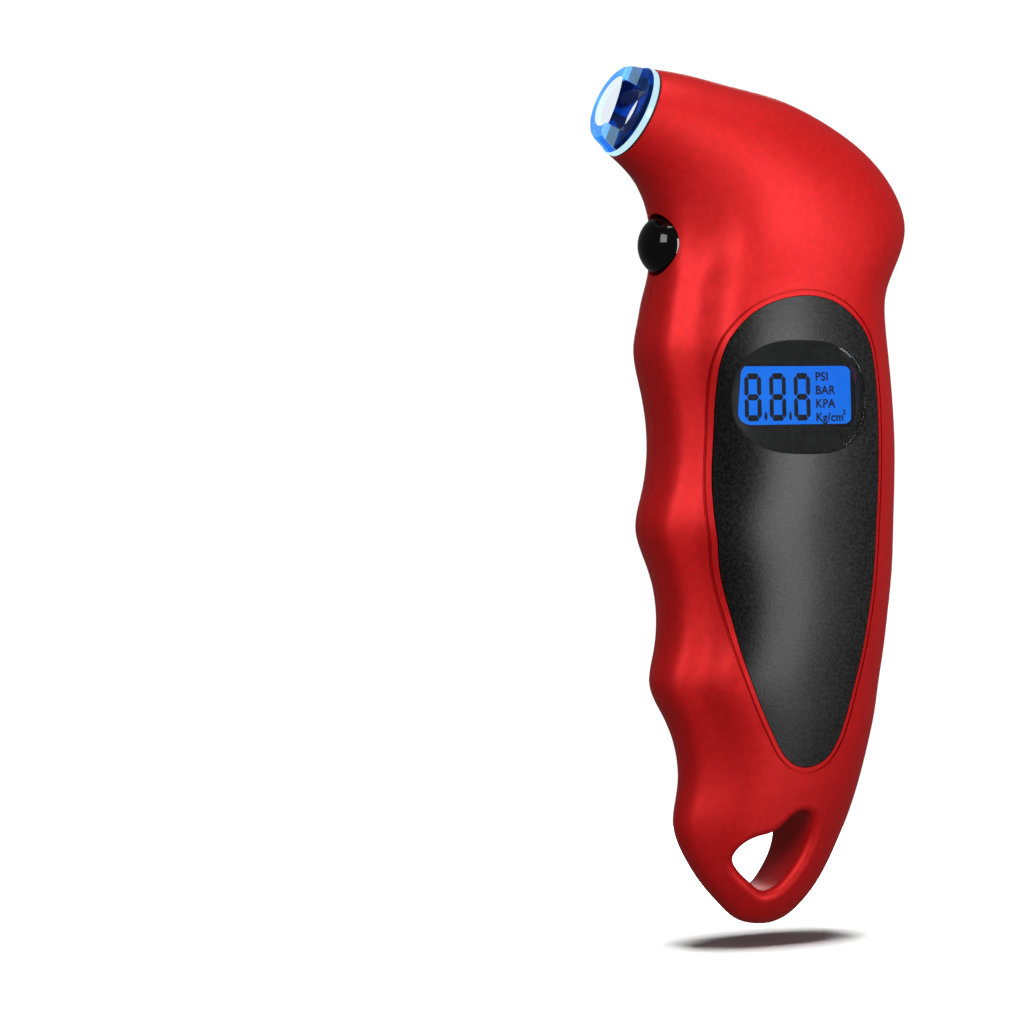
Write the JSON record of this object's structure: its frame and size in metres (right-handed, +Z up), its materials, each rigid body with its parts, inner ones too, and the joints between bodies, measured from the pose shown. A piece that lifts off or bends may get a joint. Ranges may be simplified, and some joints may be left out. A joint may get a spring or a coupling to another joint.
{
  "type": "tire pressure gauge",
  "caption": "Handheld digital tire pressure gauge with a contoured grip, backlit display, side button, lit valve nozzle and lanyard loop.",
  "frame": {"origin": "centre of the bounding box's footprint, at the lowest point of the lanyard loop, on the plane between the two shells", "axes": "+Z up the grip towards the head, -Y out of the display face, -X towards the finger grip and the nozzle"},
  "size_m": [0.056, 0.031, 0.138],
  "materials": {
    "housing_plastic": "satin metallic red moulded plastic",
    "panel_plastic": "fine-grained charcoal",
    "lens_plastic": "smoke-tinted clear acrylic",
    "mask_film": "black printed border film",
    "frame_plastic": "white moulding",
    "lcd_glass": "blue lit liquid crystal glass",
    "guide_plastic": "edge-lit light guide",
    "connector_rubber": "conductive elastomer",
    "board_laminate": "green solder mask",
    "chip_resin": "black epoxy blob",
    "component_body": "surface-mount parts",
    "button_plastic": "polished black",
    "plunger_plastic": "black",
    "switch_body": "black with metal cover",
    "nozzle_plastic": "clear moulding lit blue from inside",
    "gasket_rubber": "black",
    "seal_rubber": "translucent silicone",
    "depressor_brass": "turned",
    "chuck_plastic": "clear moulding",
    "led_resin": "clear epoxy, blue emitter",
    "sensor_metal": "stainless can",
    "retainer_steel": "plated",
    "cell_steel": "nickel-plated",
    "contact_metal": "nickel-plated spring steel",
    "door_plastic": "satin red moulded plastic",
    "screw_steel": "zinc-plated"
  },
  "bodies": {
    "housing": {"backlight_guide": "guide_plastic", "board_components": "component_body", "button_cell_1": "cell_steel", "button_cell_2": "cell_steel", "button_cell_3": "cell_steel", "chuck_body": "chuck_plastic", "chuck_oring": "gasket_rubber", "chuck_seal": "seal_rubber", "contact_plate": "contact_metal", "contact_spring": "contact_metal", "controller_chip": "chip_resin", "display_lens": "lens_plastic", "face_panel": "panel_plastic", "front_shell": "housing_plastic", "housing_screws": "screw_steel", "lcd_frame": "frame_plastic", "lcd_glass": "lcd_glass", "lens_mask": "mask_film", "main_board": "board_laminate", "nozzle_gasket": "gasket_rubber", "nozzle_led": "led_resin", "nozzle_tip": "nozzle_plastic", "pressure_sensor": "sensor_metal", "rear_shell": "housing_plastic", "sensor_oring": "gasket_rubber", "sensor_retainer": "retainer_steel", "tactile_switch": "switch_body", "valve_depressor": "depressor_brass", "zebra_strips": "connector_rubber"},
    "button": {"power_button": "button_plastic", "switch_plunger": "plunger_plastic"},
    "door": {"battery_door": "door_plastic", "battery_door_screw": "screw_steel"}
  },
  "joints": [
    {"name": "button_press", "type": "slide", "parent": "housing", "child": "button", "axis": [1, 0, 0], "range_m": [0, 0.00035], "stiffness_N_per_m": 900},
    {"name": "door_lift", "type": "slide", "parent": "housing", "child": "door", "axis": [0, 1, 0], "range_m": [0, 0.012]}
  ]
}
